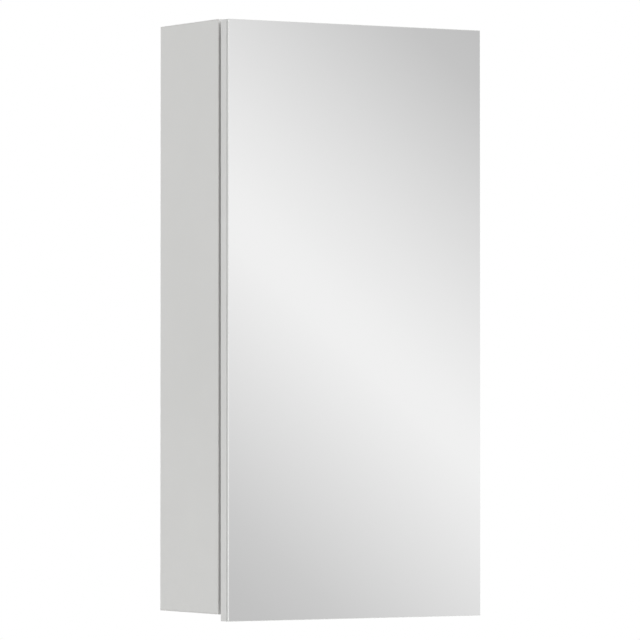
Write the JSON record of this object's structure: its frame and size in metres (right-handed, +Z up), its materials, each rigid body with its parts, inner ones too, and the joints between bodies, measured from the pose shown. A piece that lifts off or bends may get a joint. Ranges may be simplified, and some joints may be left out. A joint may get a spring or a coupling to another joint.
{
  "type": "bathroom mirror cabinet",
  "caption": "Tall narrow wall-hung cabinet with a full-height mirror door on concealed side hinges and open shelves inside.",
  "frame": {"origin": "midway between the two wall-screw holes, on the wall plane", "axes": "+X to the right along the door, +Y out of the back into the wall, +Z up"},
  "size_m": [0.3, 0.1411, 0.6065],
  "materials": {
    "white_faced_board": "matt white melamine face over particle board",
    "white_edge_band": "matt white edge band",
    "back_hardboard": "white-lacquered thin fibreboard",
    "beech": "fluted beech",
    "white_plastic": "moulded white plastic",
    "zinc": "die-cast zinc",
    "foam_tape": "dark double-sided foam tape",
    "mirror": "silvered float glass with a ground arris",
    "clear_rubber": "translucent soft pad",
    "zinc_plated_steel": "bright zinc plating",
    "spring_steel": "blued spring steel",
    "nickel_plated_steel": "nickel plating"
  },
  "bodies": {
    "cabinet": {"left_side_panel": "white_faced_board", "right_side_panel": "white_faced_board", "side_edge_bands": "white_edge_band", "top_panel": "white_faced_board", "bottom_panel": "white_faced_board", "top_bottom_edge_bands": "white_edge_band", "back_panel": "back_hardboard", "back_panel_screws": "zinc_plated_steel", "cam_bolts": "zinc_plated_steel", "cam_locks": "zinc", "cam_caps": "white_plastic", "panel_dowels": "beech", "upper_shelf": "white_faced_board", "lower_shelf": "white_faced_board", "shelf_edge_bands": "white_edge_band", "shelf_supports": "nickel_plated_steel", "left_hanging_bracket": "nickel_plated_steel", "right_hanging_bracket": "nickel_plated_steel", "bracket_screws": "zinc_plated_steel", "upper_hinge_plate": "nickel_plated_steel", "lower_hinge_plate": "nickel_plated_steel", "upper_hinge_arm": "nickel_plated_steel", "lower_hinge_arm": "nickel_plated_steel", "hinge_plate_screws": "zinc_plated_steel", "hinge_clamp_screws": "zinc_plated_steel", "hinge_adjusting_screws": "zinc_plated_steel"},
    "door": {"door_board": "white_faced_board", "door_side_edge_bands": "white_edge_band", "door_end_edge_bands": "white_edge_band", "mirror_tape_strips": "foam_tape", "mirror_glass": "mirror", "upper_hinge_cup": "nickel_plated_steel", "lower_hinge_cup": "nickel_plated_steel", "hinge_pivot_pins": "zinc_plated_steel", "hinge_cup_screws": "zinc_plated_steel", "hinge_closing_springs": "spring_steel", "door_bumpers": "clear_rubber"}
  },
  "joints": [
    {"name": "door_swing", "type": "hinge", "parent": "cabinet", "child": "door", "pos_m": [0.1425, -0.1313, -0.25], "axis": [0, 0, 1], "range_deg": [0, 95]}
  ]
}
